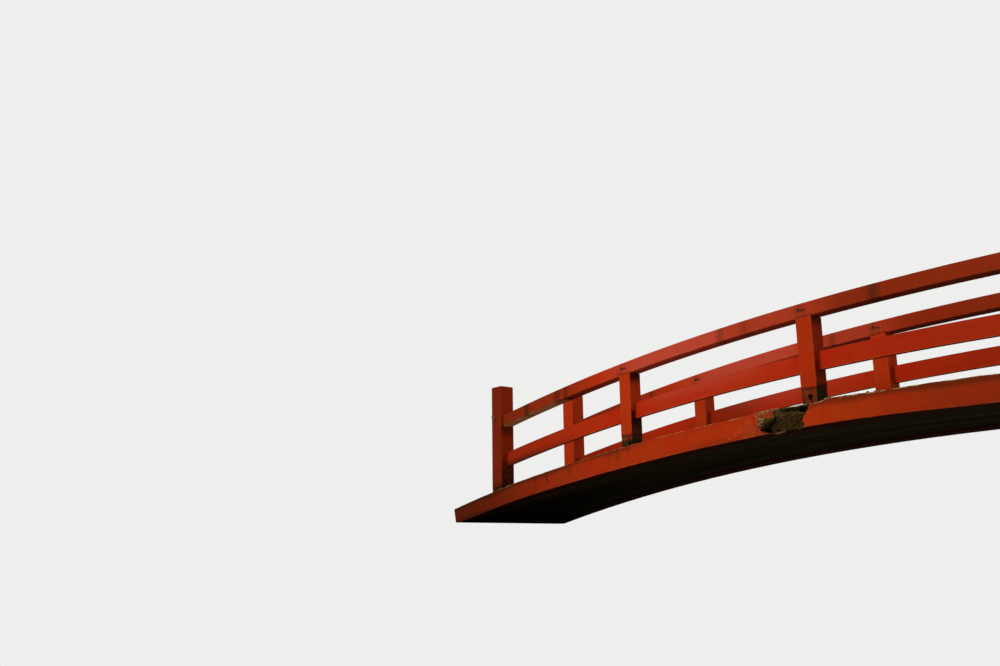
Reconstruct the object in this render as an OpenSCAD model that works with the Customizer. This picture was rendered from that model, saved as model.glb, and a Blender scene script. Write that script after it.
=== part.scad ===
// Low arched garden bridge in painted timber: two curved edge beams carry a flat-bottomed deck,
// and a post and rail parapet follows the same curve on each side.
// X runs along the span, Y across it, Z up. The origin is the middle of the plan at the level
// on which the beam ends rest. Every curved piece shares one centre, far below the span.

/* [Arch] */
// Radius of the curved top edge of the edge beams
arch_r = 19000; // [15000:100:28000]
// Length of each edge beam along its top edge
beam_length = 8200; // [7000:20:9600]
// Overall width across the outer faces of the edge beams
bridge_w = 1110; // [900:10:1800]
// Level distance from each end of the beams' top edge to the middle of the end post
end_reach = 438; // [300:1:600]
// Length of the level seat cut under each beam end
seat_length = 70; // [40:5:120]

/* [Edge beams] */
// Width of an edge beam
beam_w = 120; // [100:5:160]
// Depth of an edge beam, square to the curve
beam_h = 126; // [115:1:180]
// Bevel along the edges of an edge beam
beam_arris = 5; // [2:1:10]

/* [Deck] */
// Depth of the deck surface below the top of the edge beams
deck_drop = 15; // [5:1:25]
// Thickness of the deck planks
deck_t = 35; // [25:1:40]
// Depth of the cross joists under the deck
joist_h = 40; // [30:1:45]
// Width of a cross joist
joist_w = 90; // [60:5:140]
// Thickness of the boards that close the underside
soffit_t = 24; // [12:1:25]
// Thickness of the cross sill that closes each end of the deck
sill_t = 120; // [80:5:160]
// Space left around a post in its notch in the deck and in the edge beam
notch_gap = 2; // [1:0.5:6]

/* [Posts] */
// Side of a square intermediate post
post_w = 105; // [90:5:120]
// Side of a square end post
end_post_w = 126; // [100:1:150]
// Height of an end post above the top of the edge beam
end_post_h = 870; // [760:5:1000]
// Bevel on the upright edges of the posts
post_arris = 4; // [2:1:8]

/* [Rails] */
// Height of the top rail's upper face above the edge beam
rail_top = 608; // [560:2:700]
// Depth of the top rail
rail_h = 86; // [70:2:110]
// Width of the top rail
rail_w = 90; // [70:2:104]
// Bevel along the edges of the top rail
rail_arris = 5; // [2:1:8]
// Height of the middle rail's upper edge above the edge beam
mid_rail_top = 315; // [280:5:380]
// Depth of the middle rail
mid_rail_h = 105; // [80:5:140]
// Thickness of the middle rail
mid_rail_t = 30; // [20:1:45]
// Length of the lapped joint between two lengths of top rail
lap_length = 40; // [30:2:46]
// Open seam at each end of a lapped joint
joint_gap = 2; // [0.5:0.5:4]
// Distance that the joint's upper seam lies to the left of the post's middle
joint_shift = 28; // [0:1:40]
// Depth from the top of the rail to the joint's lap line
lap_line = 40; // [30:1:60]
// Width across the flats of the eight-sided peg hole at the corner of the joint
peg_hole = 22; // [10:1:26]
// Depth to which the rails are housed in the end posts
end_housing = 20; // [10:1:40]

/* [Decay] */
// Distance that the middle of the near beam's decayed stretch lies to the left of the second post
decay_reach = 110; // [60:5:200]
// Length of the decayed stretch
decay_length = 290; // [200:10:400]
// Depth to which the decayed wood has gone at the upper edge
decay_depth = 17; // [10:1:30]
// How much deeper the decay goes at the lower edge
decay_slant = 18; // [0:1:30]
// Radius of the flutes that rot has opened along the grain
flute_r = 18; // [14:1:30]
// Thickness of the top edge that has survived above the flutes
decay_rim = 12; // [6:1:30]
// Width of the rotted-out hollow under the second post
hollow_w = 66; // [50:2:100]
// Height of that hollow
hollow_h = 26; // [16:1:40]
// Depth of that hollow from the outer face
hollow_depth = 80; // [60:5:110]
// Diameter of the pocket at the left end of the decayed stretch
pocket_d = 24; // [12:1:36]
// Depth of that pocket from the outer face
pocket_depth = 45; // [30:5:90]

/* [Hidden] */
$fn = 7200;
bays = 5;
decay_post = 2;
peg_sides = 8;
// Left and right end of each flute, from the top one down, in shares of the decayed length
flute_ends = [
    [-0.20, 0.58], [-0.25, 0.55], [-0.39, 0.49], [-0.46, 0.47], [-0.49, 0.49], [-0.45, 0.50], [-0.35, 0.48]
];
// Places of the hollow and the pocket: share of the decayed length, share of the beam's depth
hollow_at = [0.483, 0.22];
pocket_at = [-0.448, 0.77];
near = -1;
far = 1;
sides = [near, far];
side_names = ["near", "far"];
vermilion = [0.70, 0.22, 0.10];
weathered = [0.42, 0.38, 0.33];
mossy = [0.29, 0.30, 0.22];

// Level from which every radius is measured: the seats at the beam ends lie at z = 0
beam_half_angle = beam_length / 2 / arch_r * 180 / PI;
under_r = arch_r - beam_h;
seat_start = under_r * sin(beam_half_angle) - seat_length;
centre_z = -sqrt(pow(under_r, 2) - pow(seat_start, 2));

deck_r = arch_r - deck_drop;
joist_r = deck_r - deck_t;
soffit_r = joist_r - joist_h;
rail_r = arch_r + rail_top;
rail_under_r = rail_r - rail_h;
mid_rail_r = arch_r + mid_rail_top;
lap_r = rail_r - lap_line;
sill_angle = sill_t / arch_r * 180 / PI;

// Equal bays between the end posts
half_span = arch_r * sin(beam_half_angle);
bay_length = 2 * (half_span - end_reach) / bays;
clear_w = bridge_w - 2 * beam_w;
post_line = clear_w / 2 - post_w / 2;
past = 10;
spare_angle = 0.003;

function post_x(k) = (k - bays / 2) * bay_length;
function is_end(k) = k == 0 || k == bays;
function post_side(k) = is_end(k) ? end_post_w : post_w;
function joint_x(k) = post_x(k) - joint_shift;
function arc_z(r, x) = centre_z + sqrt(pow(r, 2) - pow(x, 2));
function arc_angle(r, x) = asin(x / r);

// Rectangle with its four corners bevelled
module bevelled(size, bevel) {
    x = size[0];
    y = size[1];
    polygon([
        [bevel, 0], [x - bevel, 0], [x, bevel], [x, y - bevel],
        [x - bevel, y], [bevel, y], [0, y - bevel], [0, bevel]
    ]);
}

// Cross-section drawn at [radius, distance from y], swept along the arch between two angles
module sweep(y, a0, a1) {
    translate([0, y, centre_z])
        rotate([90, 0, 0])
            rotate([0, 0, 90 - a1])
                rotate_extrude(angle = a1 - a0)
                    children();
}

// Cross-section swept along the arch and cut by two upright planes at x0 and x1
module sweep_x(y, r0, r1, x0, x1) {
    a0 = min(arc_angle(r0, x0), arc_angle(r1, x0));
    a1 = max(arc_angle(r0, x1), arc_angle(r1, x1));
    intersection() {
        sweep(y, a0 - spare_angle, a1 + spare_angle) children();
        translate([x0, y - clear_w, 0])
            cube([x1 - x0, 2 * clear_w, arc_z(r1, 0) + past]);
    }
}

// Plain bar between two radii and two upright planes, centred on y
module bar(r0, r1, y, w, x0, x1) {
    sweep_x(y, r0, r1, x0, x1)
        translate([r0, -w / 2])
            square([r1 - r0, w]);
}

// Notch that a post needs above the radius r0, in the deck and in the edge beam beside it
module post_notch(side, k, r0) {
    notch = post_side(k) + 2 * notch_gap;
    bar(r0, arch_r + past, side * post_line, notch, post_x(k) - notch / 2, post_x(k) + notch / 2);
}

// Everything below the level of the seats
module below_seat() {
    translate([-beam_length, -bridge_w, -beam_h])
        cube([2 * beam_length, 2 * bridge_w, beam_h]);
}

// Round bore into the outer face of the near beam, at a share of the decayed length and of the
// beam's depth, moved along by a distance
module face_bore(at, along, d, depth) {
    x = post_x(decay_post) - decay_reach + at[0] * decay_length + along;
    translate([x, -bridge_w / 2 - past, arc_z(arch_r, x) - at[1] * beam_h])
        rotate([-90, 0, 0])
            cylinder(d = d, h = depth + past, $fn = 64);
}

// Flutes that rot has opened along the grain, a long hollow at the post and a small pocket
module decay() {
    middle_x = post_x(decay_post) - decay_reach;
    first = decay_rim + flute_r;
    pitch = (beam_h - first) / (len(flute_ends) - 1);
    for (i = [0 : len(flute_ends) - 1]) {
        x0 = middle_x + flute_ends[i][0] * decay_length;
        x1 = middle_x + flute_ends[i][1] * decay_length;
        depth = decay_depth + decay_slant * i / (len(flute_ends) - 1);
        translate([x0, -bridge_w / 2 + depth - flute_r, arc_z(arch_r - first - pitch * i, x0)])
            rotate([0, 90 - arc_angle(arch_r, x0), 0])
                cylinder(r = flute_r, h = x1 - x0, $fn = 64);
    }
    for (j = [-1 : 1])
        face_bore(hollow_at, j * (hollow_w - hollow_h) / 2, hollow_h, hollow_depth);
    face_bore(pocket_at, 0, pocket_d, pocket_depth);
}

module edge_beam(side) {
    color(vermilion)
        difference() {
            sweep(side * (bridge_w - beam_w) / 2, -beam_half_angle, beam_half_angle)
                translate([under_r, -beam_w / 2])
                    bevelled([beam_h, beam_w], beam_arris);
            below_seat();
            if (end_post_w > post_w)
                for (k = [0, bays]) post_notch(side, k, joist_r);
            if (side == near) decay();
        }
}

module deck() {
    color(weathered)
        difference() {
            sweep(0, -beam_half_angle + sill_angle, beam_half_angle - sill_angle)
                translate([joist_r, -clear_w / 2])
                    square([deck_t, clear_w]);
            for (side = sides, k = [0 : bays]) post_notch(side, k, joist_r - past);
        }
}

module soffit() {
    color(mossy)
        sweep(0, -beam_half_angle + sill_angle, beam_half_angle - sill_angle)
            translate([soffit_r - soffit_t, -clear_w / 2])
                square([soffit_t, clear_w]);
}

// One joist under each pair of posts and one in the middle of each bay
module cross_joists() {
    color(weathered)
        for (j = [0 : 2 * bays]) {
            x = post_x(j / 2);
            w = (j % 2 == 0) ? max(joist_w, post_side(j / 2) + 2 * notch_gap) : joist_w;
            bar(soffit_r, joist_r, 0, clear_w, x - w / 2, x + w / 2);
        }
}

module sill(end) {
    a = beam_half_angle - sill_angle;
    color(vermilion)
        difference() {
            sweep(0, end < 0 ? -beam_half_angle : a, end < 0 ? -a : beam_half_angle)
                translate([under_r, -clear_w / 2])
                    square([deck_r - under_r, clear_w]);
            below_seat();
        }
}

// Ends of the rails over bay k: housed in an end post, or at the middle of an intermediate post
function rail_x0(k) = post_x(k - 1) + (k == 1 ? end_post_w / 2 - end_housing : 0);
function rail_x1(k) = post_x(k) - (k == bays ? end_post_w / 2 - end_housing : 0);

// Length of top rail over bay k. Its right end has a lower tongue that runs on over the middle
// of the post, and its left end an upper tongue that lies on the tongue of the length before.
module top_rail_bar(side, k) {
    y = side * post_line;
    w = rail_w + 2 * past;
    x0 = k > 1 ? joint_x(k - 1) + joint_gap : rail_x0(k);
    x1 = k < bays ? joint_x(k) : rail_x1(k);
    tip = k < bays ? x1 + lap_length - joint_gap : x1;
    difference() {
        sweep_x(y, rail_under_r, rail_r, x0, tip)
            translate([rail_under_r, -rail_w / 2])
                bevelled([rail_h, rail_w], rail_arris);
        if (k > 1)
            bar(rail_under_r - past, lap_r, y, w, x0 - past, joint_x(k - 1) + lap_length);
        if (k < bays)
            bar(lap_r, rail_r + past, y, w, x1, tip + past);
    }
}

// Hole for the peg at the corner of the joint over post k, flat on its upper side
module peg_bore(side, k) {
    half_side = 180 / peg_sides;
    translate([joint_x(k), side * post_line, arc_z(lap_r, joint_x(k))])
        rotate([90, half_side, 0])
            cylinder(d = peg_hole / cos(half_side), h = rail_w + 2 * past, center = true, $fn = peg_sides);
}

module top_rail(side, k) {
    color(vermilion)
        difference() {
            top_rail_bar(side, k);
            for (p = [k - 1, k])
                if (!is_end(p)) peg_bore(side, p);
        }
}

// Board of the middle rail over bay k, meeting the next one inside the post's mortise
module mid_rail_bar(side, k) {
    bar(mid_rail_r - mid_rail_h, mid_rail_r, side * post_line, mid_rail_t, rail_x0(k), rail_x1(k));
}

module mid_rail(side, k) {
    color(vermilion) mid_rail_bar(side, k);
}

// Upright prism of the post, from the curved top of its joist up to the level z1
module post_prism(side, k, z1) {
    w = post_side(k);
    x = post_x(k);
    y = side * post_line;
    foot = arc_z(joist_r - joist_h, x);
    difference() {
        translate([x - w / 2, y - w / 2, foot])
            linear_extrude(z1 - foot)
                bevelled([w, w], post_arris);
        bar(joist_r - beam_h, joist_r, y, w + 2 * past, x - w / 2 - 1, x + w / 2 + 1);
    }
}

module post(side, k) {
    w = post_side(k);
    x = post_x(k);
    color(vermilion)
        if (is_end(k))
            difference() {
                post_prism(side, k, arc_z(arch_r, x) + end_post_h);
                top_rail_bar(side, max(k, 1));
                mid_rail_bar(side, max(k, 1));
            }
        else
            difference() {
                post_prism(side, k, arc_z(rail_r, x));
                bar(rail_under_r, rail_r + rail_h, side * post_line, w + 2 * past,
                    x - w / 2 - 1, x + w / 2 + 1);
                bar(mid_rail_r - mid_rail_h, mid_rail_r, side * post_line, mid_rail_t,
                    x - w / 2 - 1, x + w / 2 + 1);
            }
}

edge_beam(near);  // near_beam
edge_beam(far);  // far_beam
deck();
soffit();
cross_joists();
sill(-1);  // left_sill
sill(1);  // right_sill
for (s = [0, 1], k = [0 : bays])
    post(sides[s], k);
for (s = [0, 1], k = [1 : bays])
    top_rail(sides[s], k);
for (s = [0, 1], k = [1 : bays])
    mid_rail(sides[s], k);
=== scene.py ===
"""Looks of a low arched garden bridge in weathered vermilion timber.

All lengths are metres, in the part's frame: X along the span, Y across it, Z up. Every curved
piece shares one centre below the span, so places are given by three numbers: s, the distance
along the top line of the edge beams from the crown, h, the height square to that line, and y.
On the near beam, w is the depth under that line and q the depth behind the outer face.
"""

import math

import bmesh
import bpy
import numpy as np
from mathutils import Matrix, Vector


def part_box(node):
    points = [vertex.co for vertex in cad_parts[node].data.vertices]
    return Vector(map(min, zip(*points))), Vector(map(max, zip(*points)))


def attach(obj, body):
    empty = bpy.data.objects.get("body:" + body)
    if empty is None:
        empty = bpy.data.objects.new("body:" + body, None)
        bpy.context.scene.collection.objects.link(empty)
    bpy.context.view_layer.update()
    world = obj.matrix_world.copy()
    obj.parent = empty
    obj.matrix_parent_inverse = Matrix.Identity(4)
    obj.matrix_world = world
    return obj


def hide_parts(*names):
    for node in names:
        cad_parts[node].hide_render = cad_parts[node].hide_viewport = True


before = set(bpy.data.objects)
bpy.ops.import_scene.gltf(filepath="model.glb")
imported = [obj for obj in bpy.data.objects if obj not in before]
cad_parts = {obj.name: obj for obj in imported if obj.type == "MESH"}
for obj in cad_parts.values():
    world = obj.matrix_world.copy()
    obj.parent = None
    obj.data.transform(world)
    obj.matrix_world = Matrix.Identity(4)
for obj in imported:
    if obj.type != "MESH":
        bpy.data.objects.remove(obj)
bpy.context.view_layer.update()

# Sizes of the construction, as far as the frame doesn't give them
ARCH_R = 19.0
BAYS = 5
BEAM_H = 0.126
BEAM_ARRIS = 0.005
POST_ARRIS = 0.004
DECK_DROP = 0.015
DECK_T = 0.035
DECK_LOW = DECK_DROP + DECK_T
JOIST_H = 0.040
SOFFIT_T = 0.024
SILL_T = 0.120
RAIL_TOP = 0.608
RAIL_H = 0.086
RAIL_LOW = RAIL_TOP - RAIL_H
LAP_LINE = 0.040
LAP_LENGTH = 0.040
JOINT_SHIFT = 0.028
MID_RAIL_TOP = 0.315
MID_RAIL_H = 0.105
MID_RAIL_LOW = MID_RAIL_TOP - MID_RAIL_H
PEG_HOLE = 0.022


def middle(node):
    """Middle of a node's box"""
    low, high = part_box(node)
    return (low + high) / 2


def width(node):
    """Length of a node's box along the span"""
    low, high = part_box(node)
    return high.x - low.x


BEAM_LOW, BEAM_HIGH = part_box("far_beam")
BRIDGE_HALF = BEAM_HIGH.y
BEAM_W = BEAM_HIGH.y - BEAM_LOW.y
CLEAR_HALF = BRIDGE_HALF - BEAM_W
CENTRE_Z = BEAM_HIGH.z - ARCH_R
POST_X = [middle(f"near_post_{k}").x for k in range(BAYS + 1)]
BAY = POST_X[1] - POST_X[0]
POST_W = width("near_post_2")
END_POST_W = width("near_post_0")
POST_LINE = abs(middle("near_post_2").y)
RAIL_HALF_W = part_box("near_top_rail_3")[1].y - middle("near_top_rail_3").y


def arc_to(x):
    """Distance along the top line from the crown to the level place x"""
    return ARCH_R * math.asin(x / ARCH_R)


def arch_z(x, h):
    """Z at the level place x, h above the top line"""
    return CENTRE_Z + np.sqrt((ARCH_R + h) ** 2 - x ** 2)


HALF_ARC = arc_to(BEAM_HIGH.x)
BOARD_REACH = HALF_ARC - SILL_T


def linear(red, green, blue):
    """Scene-linear colour of a display colour given in 0 to 255"""
    def channel(value):
        value = value / 255
        return value / 12.92 if value <= 0.04045 else ((value + 0.055) / 1.055) ** 2.4
    return (channel(red), channel(green), channel(blue), 1.0)


def darker(colour, share):
    """Colour multiplied by a share"""
    return (*(channel * share for channel in colour[:3]), 1.0)


# Colours of the finishes
FRESH_PAINT = linear(178, 44, 2)
FADED_PAINT = linear(172, 51, 6)
RED_PAINT = linear(178, 35, 2)
DEEP_PAINT = linear(174, 42, 3)
# Pale pink paint: real chalky mottles near the rot, and a painted sheen on the rails
CHALKY_PAINT_AND_SHEEN = linear(182, 66, 44)
# Pale paint on worn edges and scratches, also used as a painted highlight along the arrises
WORN_EDGE_AND_HIGHLIGHT = linear(196, 88, 46)
BARE_WOOD = linear(120, 98, 72)
PINK_WOOD = linear(168, 100, 62)
PALE_WOOD = linear(216, 142, 90)
STAINED_WOOD = linear(130, 50, 18)
GREY_WOOD = linear(90, 70, 48)
ROTTEN_WOOD = linear(72, 52, 18)
SMOOTH_ROT = linear(66, 45, 24)
DARK_WOOD = linear(42, 28, 18)
DECK_WOOD = linear(126, 112, 92), linear(150, 134, 110)
DAMP_BOARDS = linear(72, 62, 24), linear(58, 49, 17)
END_GRAIN = linear(40, 32, 20), linear(98, 92, 66)
SEAM = linear(30, 12, 6)
BURNT_RED = linear(70, 20, 6)
# Near black: painted shade in holes, cracks and clefts, and the colour of dark specks
DARK_HOLLOW = linear(14, 10, 8)
GRIME = linear(58, 44, 14)
MOSS = linear(80, 66, 22)
LICHEN = linear(158, 134, 86)
IRON_DARK = linear(58, 40, 30)
IRON_RUST = linear(104, 62, 36)
ZINC = linear(176, 164, 152)


def math_method(operation):
    """Method of Value: the result of a Math node of the value and, if there is one, another"""
    return lambda *values: values[0].graph.math(operation, *values)


class Value:
    """Output of a shader node; what is worked out from it are nodes of the same tree."""

    __add__ = math_method("ADD")
    __sub__ = math_method("SUBTRACT")
    __mul__ = math_method("MULTIPLY")
    __abs__ = math_method("ABSOLUTE")
    most = math_method("MAXIMUM")
    least = math_method("MINIMUM")

    def __init__(self, graph, socket):
        self.graph = graph
        self.socket = socket

    def __rsub__(self, other):
        return self.graph.math("SUBTRACT", other, self)

    def ease(self, low, high):
        """0 at low and 1 at high, eased between them; low may be the larger"""
        return self.graph.node("MapRange", {0: self, 1: low, 2: high},
                               interpolation_type="SMOOTHSTEP")[0]

    def bump(self, centre, reach):
        """1 at centre, eased down to 0 at a distance of reach"""
        return abs(self - centre).ease(reach, 0.0)

    def between(self, low, high, soft=0.001):
        """1 between low and high, eased over a width of soft on both sides"""
        return self.ease(low - soft, low + soft) * self.ease(high + soft, high - soft)

    def scaled(self, x, y, z):
        """Vector with each part multiplied"""
        return self.graph.node("VectorMath", {0: self, 1: (x, y, z)}, operation="MULTIPLY")[0]

    def noise(self, scale=1.0, detail=2.0, roughness=0.5):
        """Noise between about 0.2 and 0.8 at this place"""
        return self.graph.node("TexNoise", {"Vector": self, "Scale": scale, "Detail": detail,
                                            "Roughness": roughness})[0]

    def shade(self, share):
        """Colour multiplied by a value"""
        return self.graph.node("VectorMath", {0: self, "Scale": share}, operation="SCALE")[0]


class Graph:
    """Short calls that add nodes to one shader tree."""

    def __init__(self, tree):
        self.tree = tree

    def put(self, socket, value):
        """Links a socket to a value, or sets it to a number, vector or colour"""
        if isinstance(value, Value):
            self.tree.links.new(value.socket, socket)
        else:
            socket.default_value = value

    def outputs(self, made):
        """Outputs of a node by number and by name"""
        values = {}
        for number, socket in enumerate(made.outputs):
            values[number] = values[socket.name] = Value(self, socket)
        return values

    def node(self, kind, inputs=None, **settings):
        """Outputs of a new node of this kind with these inputs and settings"""
        made = self.tree.nodes.new("ShaderNode" + kind)
        for name, value in settings.items():
            setattr(made, name, value)
        for key, value in (inputs or {}).items():
            self.put(made.inputs[key], value)
        return self.outputs(made)

    def math(self, operation, *values):
        """Result of a Math node"""
        return self.node("Math", dict(enumerate(values)), operation=operation)[0]

    def vector(self, x, y, z):
        """Vector of three values"""
        return self.node("CombineXYZ", {0: x, 1: y, 2: z})[0]

    def mix(self, share, first, second):
        """Colour between two colours"""
        return self.node("Mix", {0: share, 6: first, 7: second}, data_type="RGBA")[2]

    def group(self, name, **inputs):
        """Outputs of one of the shared effects"""
        return self.node("Group", inputs, node_tree=bpy.data.node_groups[name])

    def mark(self, name):
        """A mark on the points of the piece"""
        return self.node("Attribute", attribute_name=name)["Fac"]


def effect(name, inputs, build):
    """Node group with these inputs and their defaults, None for a vector. What
    build(graph, inputs) gives by name are its outputs."""
    tree = bpy.data.node_groups.new(name, "ShaderNodeTree")
    for label, default in inputs.items():
        kind = "Vector" if default is None else "Color" if isinstance(default, tuple) else "Float"
        socket = tree.interface.new_socket(label, in_out="INPUT", socket_type="NodeSocket" + kind)
        if default is not None:
            socket.default_value = default
    g = Graph(tree)
    results = build(g, g.outputs(tree.nodes.new("NodeGroupInput")))
    for label, value in results.items():
        kind = {"VALUE": "Float", "VECTOR": "Vector", "RGBA": "Color"}[value.socket.type]
        tree.interface.new_socket(label, in_out="OUTPUT", socket_type="NodeSocket" + kind)
    ends = tree.nodes.new("NodeGroupOutput").inputs
    for label, value in results.items():
        g.put(ends[label], value)


def arch_place(g, _):
    """Where a point is on the arch: s and h from polar coordinates about the shared centre"""
    parts = g.node("SeparateXYZ", {0: g.node("TexCoord")["Object"]})
    x, y, z = parts[0], parts[1], parts[2]
    rise = z - CENTRE_Z
    along = g.math("ARCTAN2", x, rise) * ARCH_R
    height = g.math("SQRT", x * x + rise * rise) - ARCH_R
    return {"Along": along, "Height": height, "Across": y, "Level X": x,
            "Unrolled": g.vector(along, y, height), "Upright": g.vector(z, x, y)}


def timber_grain(g, given):
    """Fine fibres, broad figure and drying cracks, stretched along the vector's first part"""
    vector = given["Vector"]
    fibre = vector.scaled(5, 190, 190).noise(detail=4, roughness=0.6)
    rings = g.math("SINE", vector.scaled(1.3, 11, 11).noise() * 60.0)
    line = vector.scaled(1.6, 30, 30).noise(detail=3).bump(0.5, 0.016)
    patch = vector.scaled(2.3, 9, 9).noise().ease(0.5, 0.62)
    return {"Fibre": fibre, "Figure": rings * 0.5 + 0.5, "Crack": line * patch}


def flaking_paint(g, given):
    """Paint that fades, gathers grime and moss, and flakes off the bare wood under it. One input
    darkens it with painted shade and dirt; another pales the arrises with worn paint and a painted
    highlight.
    """
    grain = g.group("timber grain", Vector=given["Grain"])
    place = given["Place"]
    mottle = place.noise(26.0, detail=4, roughness=0.65)
    speck = place.noise(130.0)
    flakes = mottle * 0.6 + speck * 0.4
    tone = (place.noise(1.7, detail=4, roughness=0.6) * 0.75 + mottle * 0.25).ease(0.38, 0.62)
    paint = g.mix(tone, given["Fresh"], given["Faded"])
    paint = paint.shade((grain["Fibre"] * 0.22 + 0.89) * (mottle * 0.30 + 0.85))
    # Painted highlight and worn paint along the arrises
    paint = g.mix(given["Edge"] * mottle.ease(0.30, 0.65), paint, WORN_EDGE_AND_HIGHLIGHT)

    bare = (given["Bare"] + flakes * 0.9 - 0.45).ease(0.46, 0.54)
    worn = g.mix(grain["Figure"] * 0.4, given["Wood"], DARK_WOOD)
    colour = g.mix(bare, paint, worn.shade(grain["Fibre"] * 1.5 + 0.30))
    crack = grain["Crack"] * (bare * 0.95 + 0.05)
    colour = g.mix(crack, colour, DARK_WOOD)

    # Painted shade and dirt: darker, towards grime
    colour = g.mix(given["Haze"], colour, g.mix(0.25, colour.shade(0.32), GRIME))
    stain = given["Grime"] * flakes.ease(0.30, 0.62)
    colour = g.mix(stain, colour, g.mix(0.5, colour.shade(0.35), GRIME))
    tufts = (given["Moss"] + flakes * 1.2 - 0.6).ease(0.42, 0.58)
    colour = g.mix(tufts, colour, g.mix(speck.ease(0.3, 0.7), darker(MOSS, 0.45), MOSS))
    crust = (given["Lichen"] + flakes * 1.2 - 0.6).ease(0.44, 0.56)
    colour = g.mix(crust, colour, g.mix(speck, darker(LICHEN, 0.6), LICHEN))

    rough = mottle * 0.18 + bare * 0.35 + stain * 0.2 + 0.40
    relief = (grain["Fibre"] * (bare * 0.0011 + 0.0003) - bare * 0.0006 - crack * 0.002
              + mottle * 0.0004 + tufts * speck * 0.004 + crust * speck * 0.003)
    return {"Color": colour, "Roughness": rough.most(tufts.most(crust) * 0.95), "Height": relief}


effect("arch place", {}, arch_place)
effect("timber grain", {"Vector": None}, timber_grain)
effect("flaking paint",
       {"Grain": None, "Place": None, "Fresh": FRESH_PAINT, "Faded": FADED_PAINT,
        "Wood": BARE_WOOD, "Bare": 0.0, "Edge": 0.0, "Haze": 0.0, "Grime": 0.0, "Moss": 0.0,
        "Lichen": 0.0}, flaking_paint)


def empty_graph(owner):
    """Graph of the emptied node tree of a material or world"""
    owner.use_nodes = True
    owner.node_tree.nodes.clear()
    return Graph(owner.node_tree)


def finish(build):
    """Material named after the function build(graph, place on the arch), which gives the colour,
    the roughness and the height of the relief in metres"""
    made = bpy.data.materials.new(build.__name__)
    g = empty_graph(made)
    colour, rough, relief = build(g, g.group("arch place"))
    normal = g.node("Bump", {"Height": relief, "Strength": 1.0, "Distance": 1.0})[0]
    surface = g.node("BsdfPrincipled", {"Base Color": colour, "Roughness": rough,
                                        "Normal": normal, "Specular IOR Level": 0.03})[0]
    g.node("OutputMaterial", {"Surface": surface})
    return made


def weathered(g, at, **inputs):
    """Colour, roughness and relief of flaking paint, with the grain along the arch"""
    paint = g.group("flaking paint", **{"Grain": at["Unrolled"], "Place": at["Unrolled"], **inputs})
    return paint["Color"], paint["Roughness"], paint["Height"]


def from_post(g, at):
    """Level distance from the nearest post's middle, positive on its right. The whole bays that
    are added keep the share of a bay above zero."""
    return (g.math("FRACT", at["Level X"] * (1 / BAY) + 11.0) - 0.5) * BAY


# Dark drips down the near beam: s, half width, depths between which they run, strength
BEAM_DRIPS = ((-3.034, 0.028, 0.0, 0.075, 0.22), (-2.903, 0.017, 0.028, 0.074, 0.85),
              (-2.650, 0.050, 0.0, 0.090, 0.24), (-2.560, 0.022, 0.0, 0.078, 0.22),
              (-2.215, 0.024, 0.010, 0.052, 0.34), (-2.058, 0.020, 0.008, 0.050, 0.26))


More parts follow.
